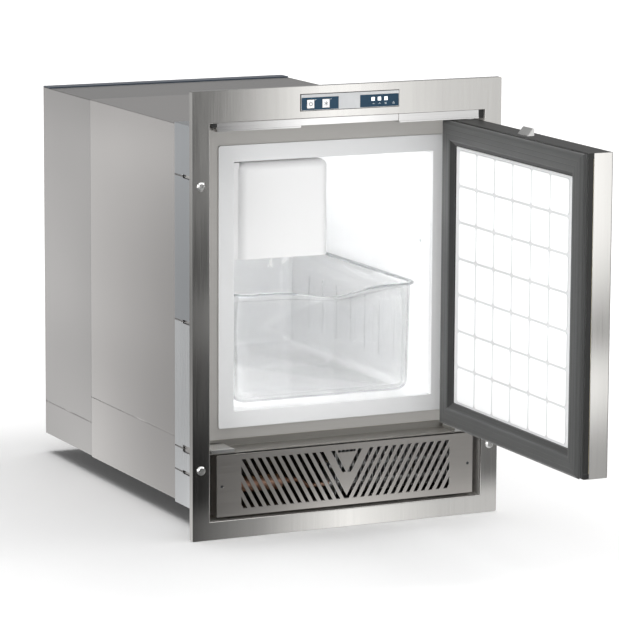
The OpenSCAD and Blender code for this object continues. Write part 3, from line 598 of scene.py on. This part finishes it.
# its section, outside up and inside down, as (inset, height) in millimetres
profile = []
for k in range(7):
    t = math.radians(90 * k / 6)
    profile.append((6.4 + 12 - 12 * math.sin(t), b_lo.z / MM + 12 - 12 * math.cos(t)))
zt = b_hi.z / MM
profile += [(5.0, zt - 40), (4.0, zt - 3.4), (3.4, zt - 2.8), (0.7, zt - 2.8), (0.1, zt - 2.2),
            (0.1, zt - 0.7), (0.7, zt - 0.05), (5.2, zt - 0.05), (6.2, zt - 0.9), (7.5, zt - 40)]
for k in range(7):
    t = math.radians(90 * k / 6)
    profile.append((8.9 + 9.5 - 9.5 * math.cos(t), b_lo.z / MM + 2.5 + 9.5 - 9.5 * math.sin(t)))
bm = bmesh.new()
rows = loft(bm, [bin_loop(i * MM, z * MM) for i, z in profile])
for row in (rows[0], rows[-1]):
    bm.faces.new(row)
bin_piece = make("ice_bin_piece", bm, M["clear_plastic"], "bin", ["ice_bin"])
RIBS, RIB_FIRST, RIB_PITCH, RIB_HALF = 7, 52, 38, 0.7 * MM
bm = bmesh.new()
for k in range(RIBS):
    y = b_lo.y + (RIB_FIRST + RIB_PITCH * k) * MM
    solid_box(bm, (b_hi.x - 8.4 * MM, y - RIB_HALF, b_lo.z + 28 * MM),
              (b_hi.x - 7.4 * MM, y + RIB_HALF, b_lo.z + 92 * MM))
ribs = make("bin_ribs", bm, M["clear_rib"], "bin")
soften(ribs, 0.2 * MM, 1).visible_shadow = False
bin_piece.visible_shadow = False
# the rim band takes a dark grey clear plastic: painted shade for the dark line along the clear rim
bin_piece.data.materials.append(M["clear_rim_painted_shade"])
for p in bin_piece.data.polygons:
    if b_hi.z - 3.4 * MM < p.center.z < b_hi.z + 1 * MM:
        p.material_index = 1

# ---------------------------------------------------------------- door

skin_lo, skin_hi = shut_box("door_skin")
pane_lo, pane_hi = shut_box("door_liner")
seal_lo = shut_box("door_gasket")[0]


def refined_door(node, width, segments=2, pick=None, pick_width=2.0, pick_segments=4):
    """As refined, with pick seeing the door shut."""
    shut_pick = (lambda a, b: pick(unswing @ a, unswing @ b)) if pick else None
    return refined(node, width, segments, shut_pick, pick_width, pick_segments)


def skin_folds(a, b):
    return (abs(a.z - b.z) > 0.05 and max(a.y, b.y) < skin_lo.y + 1e-4
            and min(abs(a.x - skin_lo.x), abs(a.x - skin_hi.x)) < 1e-4)


refined_door("door_skin", 0.25, 2, skin_folds, 1.8, 5)
refined_door("door_caps", 0.5, 2)
refined_door("door_frame", 0.6, 2)
refined_door("hinge_bushes", 0.3, 2)
refined_door("latch_bolt", 0.5, 3)
refined_door("latch_slider", 0.5, 2)

# formed liner with rows of soft-edged panes
COLS, ROWS = 6, 7
SIDE_MARGIN, END_MARGIN, HALF_GROOVE = 8.5 * MM, 1.7 * MM, 0.95 * MM
bm = bmesh.new()
base_y = pane_hi.y - 0.9 * MM
solid_box(bm, (pane_lo.x, pane_lo.y, pane_lo.z), (pane_hi.x, base_y - 0.5 * MM, pane_hi.z))
fx0, fx1 = pane_lo.x + SIDE_MARGIN, pane_hi.x - SIDE_MARGIN
fz0, fz1 = pane_lo.z + END_MARGIN, pane_hi.z - END_MARGIN
pw, ph = (fx1 - fx0) / COLS, (fz1 - fz0) / ROWS
for c in range(COLS):
    for r in range(ROWS):
        x0, x1 = fx0 + c * pw + HALF_GROOVE, fx0 + (c + 1) * pw - HALF_GROOVE
        z0, z1 = fz0 + r * ph + HALF_GROOVE, fz0 + (r + 1) * ph - HALF_GROOVE
        loops = []
        for inset, up in ((0, -1.2), (0.1, 0.1), (0.45, 0.5), (1.0, 0.75), (2.2, 0.85), (6, 0.9)):
            i = inset * MM
            ring = ring_loop(x0 + i, x1 - i, z0 + i, z1 - i, max(4.0 - inset, 0.6) * MM, 5, 1)
            loops.append([(x, base_y + up * MM, z) for x, z in ring])
        loft(bm, loops, cap_first=True, cap_last=True)
o = make("door_liner_piece", bm, M["white_plastic"], "door", ["door_liner"],
         matrix=swing)
# the grooves between the panes take a grey material: painted shade in the creases
o.data.materials.append(M["groove_painted_shade"])
for p in o.data.polygons:
    flat = unswing @ p.center
    between_panes = pane_lo.y + 0.5 * MM < flat.y < base_y - 0.3 * MM
    if between_panes and fx0 < flat.x < fx1 and fz0 < flat.z < fz1:
        p.material_index = 1
soften(o, 0.2 * MM, 1)

# seal: one section swept round the door with mitred corners, as (distance in, height) in
# millimetres. Its inner edge, further in than INNER_EDGE, takes the black rubber as painted shade.
INNER_EDGE = 23.4 * MM
sec = [(3.0, 0.0), (3.0, 1.4), (2.2, 1.9), (2.2, 2.5), (3.0, 3.0), (3.0, 3.5), (2.0, 4.2),
       (2.0, 5.2), (2.6, 6.3), (4.2, 7.6), (5.4, 8.2), (7.0, 8.5), (10.0, 8.5), (10.4, 8.2),
       (10.8, 8.5), (15.8, 8.5), (16.2, 8.2), (16.6, 8.5), (20.6, 8.5), (22.0, 8.2), (23.2, 7.5),
       (24.4, 6.0), (26.4, 4.8), (26.9, 4.2), (28.8, 3.6), (28.8, 0.0)]
outer_x0, outer_x1 = skin_lo.x, skin_hi.x
outer_z0, outer_z1 = skin_lo.z - 1 * MM, skin_hi.z + 1 * MM
base = seal_lo.y
loops = []
for sx, sz in ((0, 0), (1, 0), (1, 1), (0, 1)):
    loop = []
    for d, h in sec:
        dd = d * MM
        loop.append((outer_x1 - dd if sx else outer_x0 + dd, base + h * MM,
                     outer_z1 - dd if sz else outer_z0 + dd))
    loops.append(loop)
bm = bmesh.new()
loft(bm, loops, close=True)
o = make("door_gasket_piece", bm, M["gasket_rubber"], "door", ["door_gasket"],
         smooth=False, matrix=swing)
# the black rubber on the seal's inner edge is painted shade
o.data.materials.append(M["buffer_rubber"])
for p in o.data.polygons:
    flat = unswing @ p.center
    if min(flat.x - outer_x0, outer_x1 - flat.x, flat.z - outer_z0, outer_z1 - flat.z) > INNER_EDGE:
        p.material_index = 1
soften(o, 0.25 * MM, 2, 20)

# ---------------------------------------------------------------- control panel

bez_lo, bez_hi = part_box("display_bezel")
win_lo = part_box("display_windows")[0]
e = 0.75 * MM                                # the width of the dark painted shadow line round the bezel
# a dark frame round the bezel paints the shadow line at its edge
bm = bmesh.new()
for lo, hi in (((bez_lo.x - e, bez_hi.z), (bez_hi.x + e, bez_hi.z + e)),
               ((bez_lo.x - e, bez_lo.z), (bez_lo.x, bez_hi.z)),
               ((bez_hi.x, bez_lo.z), (bez_hi.x + e, bez_hi.z)),
               ((bez_lo.x - e, bez_lo.z - e), (bez_hi.x + e, bez_lo.z))):
    solid_box(bm, (lo[0], flange_lo.y - 0.5 * MM, lo[1]), (hi[0], flange_lo.y + 0.2 * MM, hi[1]))
make("bezel_painted_shadow_line", bm, M["buffer_rubber"], "cabinet")
led_lo, led_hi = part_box("display_leds")
refined("display_bezel", 0.3, 3)
refined("display_windows", 0.12, 2)
refined("display_leds", 0.15, 2)


def bar_flat(bm, a, b, w, y0, y1):
    """Flat bar on the panel's face between two (x, z) points."""
    a, b = Vector(a), Vector(b)
    d = (b - a).normalized() * w / 2
    n = Vector((-d.y, d.x))
    quad = [a - d - n, b + d - n, b + d + n, a - d + n]
    loft(bm, [[(p.x, y, p.y) for p in quad] for y in (y0, y1)], cap_first=True, cap_last=True)


def arc_flat(bm, c, r, w, y0, y1, a0, a1, n=28):
    for k in range(n):
        t0, t1 = (math.radians(a0 + (a1 - a0) * j / n) for j in (k, k + 1))
        bar_flat(bm, (c[0] + r * math.cos(t0), c[1] + r * math.sin(t0)),
                 (c[0] + r * math.cos(t1), c[1] + r * math.sin(t1)), w, y0, y1)


for key, symbol in (("power_key", "ring"), ("mode_key", "flake")):
    k_lo, k_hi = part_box(key)
    refined(key, 0.5, 3)
    c = ((k_lo.x + k_hi.x) / 2, (k_lo.z + k_hi.z) / 2)
    bm = bmesh.new()
    y0, y1 = k_lo.y - 0.02 * MM, k_lo.y + 0.25 * MM
    if symbol == "ring":
        arc_flat(bm, c, 1.9 * MM, 0.55 * MM, y0, y1, 120, 420)
        bar_flat(bm, (c[0], c[1] + 0.8 * MM), (c[0], c[1] + 2.4 * MM), 0.55 * MM, y0, y1)
    else:
        for a in (90, 30, 150):
            v = Vector((math.cos(math.radians(a)), math.sin(math.radians(a)))) * 2.1 * MM
            bar_flat(bm, (c[0] - v.x, c[1] - v.y), (c[0] + v.x, c[1] + v.y), 0.5 * MM, y0, y1)
    make(key + "_symbol", bm, M["ink"], body_of[key], smooth=False)
    # pale tick beside each key
    bm = bmesh.new()
    bar_flat(bm, (k_hi.x + 1.0 * MM, k_hi.z - 0.5 * MM), (k_hi.x + 2.2 * MM, k_hi.z + 0.1 * MM),
             0.45 * MM, win_lo.y - 0.02 * MM, win_lo.y + 0.2 * MM)
    make(key + "_tick", bm, M["mark"], "cabinet", smooth=False)

bm = bmesh.new()
y0, y1 = win_lo.y - 0.02 * MM, win_lo.y + 0.2 * MM
span = (led_hi.x - led_lo.x - 5 * MM) / 2
for i in range(3):
    cx = led_lo.x + 2.5 * MM + i * span
    z = led_lo.z - 3.2 * MM
    if i == 0:
        bar_flat(bm, (cx - 0.9 * MM, z), (cx + 0.9 * MM, z), 0.4 * MM, y0, y1)
    elif i == 1:
        bar_flat(bm, (cx - 0.9 * MM, z - 0.5 * MM), (cx, z + 0.9 * MM), 0.4 * MM, y0, y1)
        bar_flat(bm, (cx, z + 0.9 * MM), (cx + 0.9 * MM, z - 0.5 * MM), 0.4 * MM, y0, y1)
    else:
        for dx in (-0.7, 0.0, 0.7):
            bar_flat(bm, (cx + dx * MM, z - 0.9 * MM), (cx + dx * MM, z + 0.9 * MM), 0.35 * MM,
                     y0, y1)
tx, tz = led_hi.x + 7.4 * MM, led_lo.z - 3.0 * MM
for a, b in (((-1.3, -0.9), (1.3, -0.9)), ((1.3, -0.9), (0, 1.3)), ((0, 1.3), (-1.3, -0.9))):
    bar_flat(bm, (tx + a[0] * MM, tz + a[1] * MM), (tx + b[0] * MM, tz + b[1] * MM), 0.4 * MM,
             y0, y1)
make("indicator_marks", bm, M["mark"], "cabinet", smooth=False)

# ---------------------------------------------------------------- machine bay and rear fittings

for n, w in (("condenser", 0.15), ("fan_shroud", 0.6), ("fan_motor", 0.4), ("fan_rotor", 0.15),
             ("compressor", 0.8), ("compressor_mounts", 0.6), ("control_box", 0.6),
             ("power_inlet", 0.5), ("water_valve", 0.5), ("drain_tube", 0.4), ("ice_mould", 0.6),
             ("ejector_shaft", 0.3), ("ice_stripper", 0.3), ("ejector_motor", 0.6),
             ("fill_cup", 0.4), ("evaporator_panel", 0.2)):
    refined(n, w, 2)

for n, o in nodes.items():
    if not o.hide_render:
        o.data.materials.clear()
        o.data.materials.append(material_for(n))
        for p in o.data.polygons:
            p.use_smooth = True
        o.data.shade_smooth()

# ---------------------------------------------------------------- stage, light, camera

FLOOR_DROP, FLOOR_SIZE = 0.0005, 30
CARD_LIFT = 0.010
MIRROR_DROP, MIRROR_SIZE = 0.0008, 12
IMAGE_PX = 619


def curve(nt, value, stops):
    """A number mapped through a ramp of (place, grey) stops."""
    lo, hi = stops[0][0], stops[-1][0]
    r = nt.nodes.new("ShaderNodeMapRange")
    r.inputs["From Min"].default_value = lo
    r.inputs["From Max"].default_value = hi
    nt.links.new(value, r.inputs["Value"])
    c = nt.nodes.new("ShaderNodeValToRGB")
    el = c.color_ramp.elements
    while len(el) < len(stops):
        el.new(0.5)
    for e, (place, g) in zip(el, stops):
        e.position = (place - lo) / (hi - lo)
        e.color = (g, g, g, 1)
    nt.links.new(r.outputs["Result"], c.inputs["Fac"])
    return c.outputs["Color"]


def staged(name, bm):
    """An object of the stage, which is no part of the ice maker."""
    me = bpy.data.meshes.new(name)
    bm.to_mesh(me)
    bm.free()
    o = bpy.data.objects.new(name, me)
    bpy.context.scene.collection.objects.link(o)
    return o


def board(name, corners):
    bm = bmesh.new()
    bm.faces.new([bm.verts.new(p) for p in corners])
    return staged(name, bm)


bm = bmesh.new()
bmesh.ops.create_grid(bm, x_segments=8, y_segments=8, size=FLOOR_SIZE)
bm.transform(Matrix.Translation((0, 0, flange_lo.z - FLOOR_DROP)))
floor = staged("studio_floor", bm)
m, nt, b = new_material("white_sweep")
n = noise_node(nt, 3, (1, 1, 1), 3, 0.5)
nt.links.new(tint(nt, (0.9, 0.9, 0.9), spread(nt, n.outputs["Fac"], 0.985, 1.0)), b.inputs["Base Color"])
put(b, rough=0.8, spec=0.1, emit_s=1.0)
tc = nt.nodes.new("ShaderNodeTexCoord")
reach = nt.nodes.new("ShaderNodeVectorMath")
reach.operation = "LENGTH"
nt.links.new(tc.outputs["Object"], reach.inputs[0])
# the floor glows more with distance: its low glow close to the cabinet paints shade round it, and its
# far glow fades it into the white background
nt.links.new(curve(nt, reach.outputs["Value"],
                   [(0.0, 0.02), (0.35, 0.06), (0.7, 0.17), (1.2, 0.20), (5.0, 0.5), (12.0, 0.8)]),
             b.inputs["Emission Color"])
floor.data.materials.append(m)
floor.visible_glossy = False

# a dark card close over the floor deepens the shade right under the cabinet
card_z = flange_lo.z + CARD_LIFT
shade = board("shade_card", [(x, y, card_z) for x, y in (
    (casing_lo.x, casing_lo.y), (casing_hi.x, casing_lo.y), (rear_hi.x, rear_hi.y),
    (rear_lo.x, rear_hi.y))])
shade.data.materials.append(M["buffer_rubber"])
shade.visible_camera = shade.visible_glossy = shade.visible_transmission = False


def reflector(name, corners, build):
    """A softly lit board that shows only in reflections, as a studio's cards do."""
    o = board(name, corners)
    m = bpy.data.materials.new(name)
    m.use_nodes = True
    nt = m.node_tree
    nt.nodes.clear()
    out = nt.nodes.new("ShaderNodeOutputMaterial")
    em = nt.nodes.new("ShaderNodeEmission")
    tc = nt.nodes.new("ShaderNodeTexCoord")
    sp = nt.nodes.new("ShaderNodeSeparateXYZ")
    nt.links.new(tc.outputs["Object"], sp.inputs[0])
    nt.links.new(build(nt, sp.outputs["X"], sp.outputs["Y"], sp.outputs["Z"]), em.inputs["Color"])
    em.inputs["Strength"].default_value = 2.0
    nt.links.new(em.outputs[0], out.inputs["Surface"])
    o.data.materials.append(m)
    for flag in ("visible_camera", "visible_diffuse", "visible_shadow", "visible_transmission",
                 "visible_volume_scatter"):
        setattr(o, flag, False)
    return o


def product(nt, a, b):
    m_ = nt.nodes.new("ShaderNodeMix")
    m_.data_type = "RGBA"
    m_.blend_type = "MULTIPLY"
    m_.inputs[0].default_value = 1.0
    nt.links.new(a, m_.inputs[6])
    nt.links.new(b, m_.inputs[7])
    return m_.outputs[2]


# Each glow takes a point of its board and gives its grey. On the two boards that lie on the floor,
# s_ runs across at the slant at which the flange or the casing's side mirrors them.
FRONT_SLOPE, SIDE_SLOPE, SIDE_START = 0.477, 2.14, 0.16


def front_glow(nt, x, y, _z):
    s_ = maths(nt, "ADD", x,
               maths(nt, "MULTIPLY", maths(nt, "ADD", y, -flange_lo.y), FRONT_SLOPE))
    across = curve(nt, s_, [(-2.0, 0.9), (-0.6, 0.3), (-0.20, 0.05), (-0.11, 0.25), (0.0, 0.85),
                            (0.12, 0.5), (0.5, 0.4)])
    along = curve(nt, y, [(-4.0, 0.8), (-1.4, 0.30), (-0.9, 0.40), (-0.7, 0.25), (-0.45, 0.22),
                          (-0.35, 0.9), (-0.2, 0.9)])
    return product(nt, across, along)


def side_glow(nt, x, y, _z):
    s_ = maths(nt, "ADD", y, maths(nt, "MULTIPLY", maths(nt, "ADD", x, SIDE_START), SIDE_SLOPE))
    slant = maths(nt, "MULTIPLY", maths(nt, "MAXIMUM", s_, -0.06), -1.5)
    away = curve(nt, maths(nt, "ADD", maths(nt, "ABSOLUTE", x, 0.0), slant),
                 [(-0.2, 0.40), (0.1, 0.50), (0.30, 0.42), (0.5, 0.22), (0.8, 0.20), (2.5, 0.40)])
    near = curve(nt, s_, [(-0.24, 1.0), (-0.16, 0.62), (-0.08, 0.72), (0.08, 0.82), (0.14, 1.0),
                          (0.4, 1.0)])
    return product(nt, away, near)


def card_glow(nt, x, _y, z):
    across = curve(nt, x, [(0.12, 0.03), (0.24, 0.14), (0.33, 0.54), (0.42, 1.0), (0.48, 0.72),
                           (0.58, 0.52), (0.9, 0.38)])
    up = curve(nt, z, [(0.0, 0.6), (0.05, 1.0), (0.08, 1.0), (0.12, 0.08), (0.15, 0.5),
                       (0.20, 0.85), (0.24, 1.0), (0.6, 1.0)])
    return product(nt, across, up)


def side_card_glow(nt, _x, y, z):
    along = curve(nt, y, [(0.45, 0.34), (0.60, 0.32), (0.84, 0.78), (0.92, 0.80), (1.2, 0.70)])
    lift = maths(nt, "MULTIPLY", maths(nt, "MAXIMUM", maths(nt, "ADD", y, -0.85), 0.0), -1.2)
    up = curve(nt, maths(nt, "ADD", z, lift), [(-0.10, 0.80), (0.0, 0.48), (0.06, 0.38),
                                               (0.12, 0.38), (0.20, 0.54), (0.30, 0.80)])
    return product(nt, along, up)


R, zf = MIRROR_SIZE, flange_lo.z - MIRROR_DROP
reflector("front_reflector", ((-R, -R, zf), (R, -R, zf), (R, flange_lo.y, zf),
                              (-R, flange_lo.y, zf)), front_glow)
reflector("side_reflector", ((-R, flange_lo.y, zf), (R, flange_lo.y, zf), (R, R, zf),
                             (-R, R, zf)), side_glow)
SIDE_CARD_X, FRONT_CARD_AHEAD = -0.51, 0.9
reflector("side_card", [(SIDE_CARD_X, y, z) for y, z in ((0.45, 0.0), (1.2, 0.0), (1.2, 0.30),
                                                         (0.45, 0.30))], side_card_glow)
yc = flange_lo.y - FRONT_CARD_AHEAD
reflector("front_card", [(x, yc, z) for x, z in ((0.12, 0.0), (0.9, 0.0), (0.9, 0.6), (0.12, 0.6))],
          card_glow)

world = bpy.data.worlds.new("studio")
bpy.context.scene.world = world
world.use_nodes = True
wn = world.node_tree
bg = wn.nodes["Background"]
tc = wn.nodes.new("ShaderNodeTexCoord")
sep = wn.nodes.new("ShaderNodeSeparateXYZ")
ramp = wn.nodes.new("ShaderNodeValToRGB")
wn.links.new(tc.outputs["Generated"], sep.inputs[0])
wn.links.new(sep.outputs["Z"], ramp.inputs["Fac"])
SKY = ((0.45, 0.27), (0.62, 0.30), (0.90, 1.3))            # (how far up, grey)
stops = ramp.color_ramp.elements
for e, (place, g) in zip((stops[0], stops.new(SKY[1][0]), stops[-1]), SKY):
    e.position = place
    e.color = (g, g, g, 1)
wn.links.new(ramp.outputs["Color"], bg.inputs["Color"])
bg.inputs["Strength"].default_value = 1.2


def softbox(name, place, aim, size, power, colour=(1, 1, 1)):
    data = bpy.data.lights.new(name, "AREA")
    data.shape = "RECTANGLE"
    data.size, data.size_y = size
    data.energy = power
    data.color = colour
    o = bpy.data.objects.new(name, data)
    o.location = place
    o.rotation_euler = (Vector(aim) - Vector(place)).to_track_quat("-Z", "Y").to_euler()
    bpy.context.scene.collection.objects.link(o)
    return o


softbox("overhead", (0.0, 0.2, 3.2), (0, 0, 0), (4.5, 4.5), 20)
fill = softbox("left_fill", (-3.3, -2.0, 1.3), (0.1, -0.3, 0.25), (1.6, 1.6), 62)
unlit = bpy.data.collections.new("not_lit_by_the_fill")
unlit.objects.link(floor)
fill.light_linking.receiver_collection = unlit
unlit.collection_objects[0].light_linking.link_state = "EXCLUDE"
for name, place, aim, size, power in (
        ("wall_panel", (0.008, -0.03, 0.33), (1.0, -0.03, 0.30), (0.30, 0.10), 0.17),
        ("bin_panel", (-0.054, -0.05, 0.2755), (-0.054, -0.05, 0.0), (0.09, 0.26), 0.42)):
    softbox(name, place, aim, size, power).visible_camera = False
bounce = softbox("front_bounce", (-0.12, -0.60, 0.24), (-0.05, -0.2, 0.24), (0.25, 0.45), 0.38)
bounce.visible_camera = bounce.visible_glossy = False
bounce.light_linking.receiver_collection = unlit
softbox("right_key", (2.8, -0.6, 2.3), (0, 0, 0), (1.2, 1.2), 40)

cam = bpy.data.cameras.new("camera")
SENSOR_MM, FOCAL_PX = 36, 3729.7             # solved from the photograph's corners, as is the pose
cam.sensor_width = SENSOR_MM
cam.lens = FOCAL_PX * SENSOR_MM / IMAGE_PX
cam.clip_start = 0.05
cam.clip_end = 200
cam_o = bpy.data.objects.new("camera", cam)
bpy.context.scene.collection.objects.link(cam_o)
eye = Vector((-1.8029, -3.9417, 0.9326))
yaw, pitch, roll = (math.radians(a) for a in (-25.481, -9.788, 0.2735))
forward = Vector((-math.sin(yaw) * math.cos(pitch), math.cos(yaw) * math.cos(pitch), math.sin(pitch)))
right = Vector((math.cos(yaw), math.sin(yaw), 0))
up = right.cross(forward)
r2 = right * math.cos(roll) + up * math.sin(roll)
u2 = up * math.cos(roll) - right * math.sin(roll)
cam_o.matrix_world = Matrix(((r2.x, u2.x, -forward.x, eye.x), (r2.y, u2.y, -forward.y, eye.y),
                             (r2.z, u2.z, -forward.z, eye.z), (0, 0, 0, 1)))
bpy.context.scene.camera = cam_o
bpy.context.scene.view_settings.view_transform = "Standard"

# the door and its latch don't show in reflections
for o in bpy.data.objects:
    if o.get("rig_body") in ("door", "latch"):
        o.visible_glossy = False
